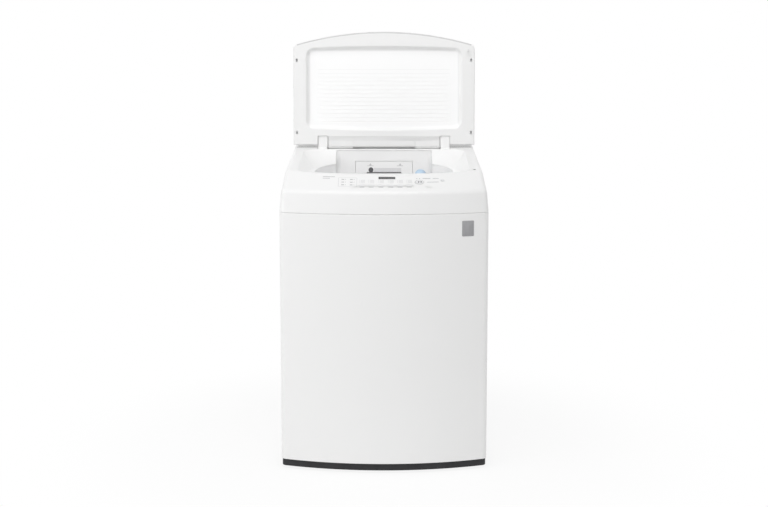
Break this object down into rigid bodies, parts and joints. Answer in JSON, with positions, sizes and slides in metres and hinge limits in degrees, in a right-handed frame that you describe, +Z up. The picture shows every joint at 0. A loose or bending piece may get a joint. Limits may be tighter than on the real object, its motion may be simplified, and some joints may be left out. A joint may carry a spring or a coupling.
{
  "type": "top load washing machine",
  "caption": "Top load washing machine with an open lid, bowed front, sloped control panel, detergent drawer and a spinning drum with a pulsator in a hanging tub.",
  "frame": {"origin": "on the floor under the middle of the machine's outline", "axes": "+Z up, +X to the right seen from the front, the front faces -Y"},
  "size_m": [0.686, 0.7209, 1.4539],
  "materials": {
    "white_sheet": "gloss enamel",
    "zinc_sheet": "galvanised",
    "white_moulding": "smooth moulded",
    "pale_grey_moulding": "smooth moulded",
    "key_grey": "satin",
    "dark_base": "textured",
    "grey_plastic": "satin",
    "tub_plastic": "satin",
    "blue_plastic": "smooth moulded",
    "dark_window": "polished",
    "board_green": "coated",
    "stainless": "brushed",
    "steel": "ground",
    "alloy": "cast",
    "core": "wound and varnished",
    "rotor_steel": "painted",
    "black_rubber": "matt"
  },
  "bodies": {
    "cabinet": {"base": "dark_base", "cabinet": "white_sheet", "rear_panel": "zinc_sheet", "top_cover": "white_moulding", "dispenser_housing": "pale_grey_moulding", "inlet_valve": "grey_plastic", "display_window": "dark_window", "control_board": "board_green", "control_box": "grey_plastic", "lid_lock": "grey_plastic", "drain_outlet": "grey_plastic", "power_gland": "black_rubber", "corner_brackets": "zinc_sheet", "hinge_pins": "steel", "cabinet_screws": "steel", "suspension_rods": "steel"},
    "front_left_foot": {"foot_front_left": "dark_base"},
    "front_right_foot": {"foot_front_right": "dark_base"},
    "rear_left_foot": {"foot_rear_left": "dark_base"},
    "rear_right_foot": {"foot_rear_right": "dark_base"},
    "lid": {"lid_outer": "white_moulding", "lid_inner": "white_moulding", "lid_hinges": "white_moulding", "lid_screws": "steel", "lid_strike": "grey_plastic"},
    "drawer": {"dispenser_drawer": "pale_grey_moulding"},
    "softener": {"softener_cap": "blue_plastic"},
    "start": {"start_button": "key_grey"},
    "power": {"power_button": "key_grey"},
    "panel_key_1": {"key_1": "key_grey"},
    "panel_key_2": {"key_2": "key_grey"},
    "panel_key_3": {"key_3": "key_grey"},
    "panel_key_4": {"key_4": "key_grey"},
    "panel_key_5": {"key_5": "key_grey"},
    "panel_key_6": {"key_6": "key_grey"},
    "tub": {"outer_tub": "tub_plastic", "tub_cover": "tub_plastic", "bearing_housing": "alloy", "upper_bearing": "steel", "lower_bearing": "steel", "shaft_seal": "black_rubber", "stator": "core", "drain_pump": "grey_plastic", "damper_cups": "grey_plastic", "suspension_springs": "steel"},
    "drum": {"drum_wall": "stainless", "drum_base": "tub_plastic", "balance_ring": "grey_plastic", "hub_flange": "alloy", "spin_shaft": "steel"},
    "pulsator": {"wash_plate": "grey_plastic", "wash_plate_cap": "stainless", "drive_shaft": "steel", "rotor": "rotor_steel", "rotor_nut": "steel"}
  },
  "joints": [
    {"name": "lid_hinge", "type": "hinge", "parent": "cabinet", "child": "lid", "pos_m": [0, 0.2027, 1.02859], "axis": [1, 0, 0], "range_deg": [0, 101.1]},
    {"name": "drawer_slide", "type": "slide", "parent": "cabinet", "child": "drawer", "axis": [0, -1, 0], "range_m": [0, 0.1]},
    {"name": "softener_pull", "type": "slide", "parent": "cabinet", "child": "softener", "axis": [0, -0.8747, 0.4847], "range_m": [0, 0.03]},
    {"name": "start_press", "type": "slide", "parent": "cabinet", "child": "start", "axis": [-0.0461, 0.3718, -0.9272], "range_m": [0, 0.0012], "stiffness_N_per_m": 1500, "springref_m": -0.0005},
    {"name": "power_press", "type": "slide", "parent": "cabinet", "child": "power", "axis": [-0.0771, 0.3666, -0.9272], "range_m": [0, 0.0012], "stiffness_N_per_m": 1500, "springref_m": -0.0005},
    {"name": "key_1_press", "type": "slide", "parent": "cabinet", "child": "panel_key_1", "axis": [0.028, 0.3736, -0.9272], "range_m": [0, 0.0012], "stiffness_N_per_m": 1500, "springref_m": -0.0005},
    {"name": "key_2_press", "type": "slide", "parent": "cabinet", "child": "panel_key_2", "axis": [0.0163, 0.3742, -0.9272], "range_m": [0, 0.0012], "stiffness_N_per_m": 1500, "springref_m": -0.0005},
    {"name": "key_3_press", "type": "slide", "parent": "cabinet", "child": "panel_key_3", "axis": [0.0039, 0.3746, -0.9272], "range_m": [0, 0.0012], "stiffness_N_per_m": 1500, "springref_m": -0.0005},
    {"name": "key_4_press", "type": "slide", "parent": "cabinet", "child": "panel_key_4", "axis": [-0.0086, 0.3745, -0.9272], "range_m": [0, 0.0012], "stiffness_N_per_m": 1500, "springref_m": -0.0005},
    {"name": "key_5_press", "type": "slide", "parent": "cabinet", "child": "panel_key_5", "axis": [-0.0202, 0.3741, -0.9272], "range_m": [0, 0.0012], "stiffness_N_per_m": 1500, "springref_m": -0.0005},
    {"name": "key_6_press", "type": "slide", "parent": "cabinet", "child": "panel_key_6", "axis": [-0.0319, 0.3732, -0.9272], "range_m": [0, 0.0012], "stiffness_N_per_m": 1500, "springref_m": -0.0005},
    {"name": "front_left_level", "type": "slide", "parent": "cabinet", "child": "front_left_foot", "axis": [0, 0, -1], "range_m": [0, 0.012]},
    {"name": "front_right_level", "type": "slide", "parent": "cabinet", "child": "front_right_foot", "axis": [0, 0, -1], "range_m": [0, 0.012]},
    {"name": "rear_left_level", "type": "slide", "parent": "cabinet", "child": "rear_left_foot", "axis": [0, 0, -1], "range_m": [0, 0.012]},
    {"name": "rear_right_level", "type": "slide", "parent": "cabinet", "child": "rear_right_foot", "axis": [0, 0, -1], "range_m": [0, 0.012]},
    {"name": "tub_hang", "type": "slide", "parent": "cabinet", "child": "tub", "axis": [0, 0, 1], "range_m": [-0.025, 0.015], "stiffness_N_per_m": 9000, "springref_m": 0.04255, "deforming": ["suspension_springs"]},
    {"name": "drum_spin", "type": "hinge", "parent": "tub", "child": "drum", "pos_m": [0, -0.01, 0.4], "axis": [0, 0, 1], "continuous": true},
    {"name": "pulsator_spin", "type": "hinge", "parent": "tub", "child": "pulsator", "pos_m": [0, -0.01, 0.4], "axis": [0, 0, 1], "continuous": true}
  ]
}
